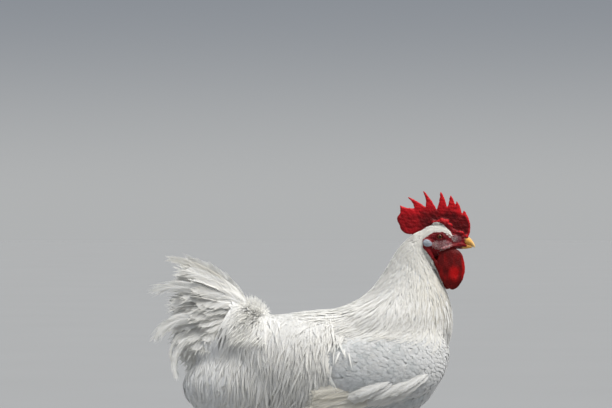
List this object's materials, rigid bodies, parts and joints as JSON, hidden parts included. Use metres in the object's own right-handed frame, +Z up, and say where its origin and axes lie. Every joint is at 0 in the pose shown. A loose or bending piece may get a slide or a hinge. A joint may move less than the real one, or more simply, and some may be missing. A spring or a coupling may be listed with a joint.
{
  "type": "standing white farmyard cock",
  "caption": "Life-size still model of a white farmyard cock standing alert, with red single comb and wattles, folded wings, full tail and yellow legs.",
  "frame": {"origin": "on the floor under the middle of the whole bird's footprint", "axes": "+X forwards towards the beak, +Y to the bird's left, +Z up"},
  "size_m": [0.4844, 0.1742, 0.5148],
  "materials": {
    "plumage": "matte white feathers",
    "flight_feathers": "smooth satin white vanes",
    "red_skin": "pebbled satin skin",
    "face_skin": "wrinkled satin skin",
    "lobe_skin": "smooth matte skin",
    "beak_horn": "polished horn",
    "leg_scales": "satin scales",
    "claw_horn": "satin horn",
    "eye": "wet gloss"
  },
  "bodies": {
    "root": {"beak_lower": "beak_horn", "beak_upper": "beak_horn", "claw_left_hind": "claw_horn", "claw_left_inner": "claw_horn", "claw_left_middle": "claw_horn", "claw_left_outer": "claw_horn", "claw_right_hind": "claw_horn", "claw_right_inner": "claw_horn", "claw_right_middle": "claw_horn", "claw_right_outer": "claw_horn", "comb": "red_skin", "earlobe_left": "lobe_skin", "earlobe_right": "lobe_skin", "eye_left": "eye", "eye_right": "eye", "head": "face_skin", "neck": "plumage", "saddle": "plumage", "shank_left": "leg_scales", "shank_right": "leg_scales", "sickle_left_curl": "flight_feathers", "sickle_left_lower": "flight_feathers", "sickle_left_middle": "flight_feathers", "sickle_left_top": "flight_feathers", "sickle_left_upper": "flight_feathers", "sickle_right_curl": "flight_feathers", "sickle_right_lower": "flight_feathers", "sickle_right_middle": "flight_feathers", "sickle_right_top": "flight_feathers", "sickle_right_upper": "flight_feathers", "spur_left": "claw_horn", "spur_right": "claw_horn", "stern_fluff": "plumage", "tail": "plumage", "tail_tuft": "plumage", "thigh_left": "plumage", "thigh_right": "plumage", "toe_left_hind": "leg_scales", "toe_left_inner": "leg_scales", "toe_left_middle": "leg_scales", "toe_left_outer": "leg_scales", "toe_right_hind": "leg_scales", "toe_right_inner": "leg_scales", "toe_right_middle": "leg_scales", "toe_right_outer": "leg_scales", "trunk": "plumage", "wattle_left": "red_skin", "wattle_right": "red_skin", "wing_left_bow": "plumage", "wing_left_flight": "flight_feathers", "wing_right_bow": "plumage", "wing_right_flight": "flight_feathers"}
  },
  "joints": []
}
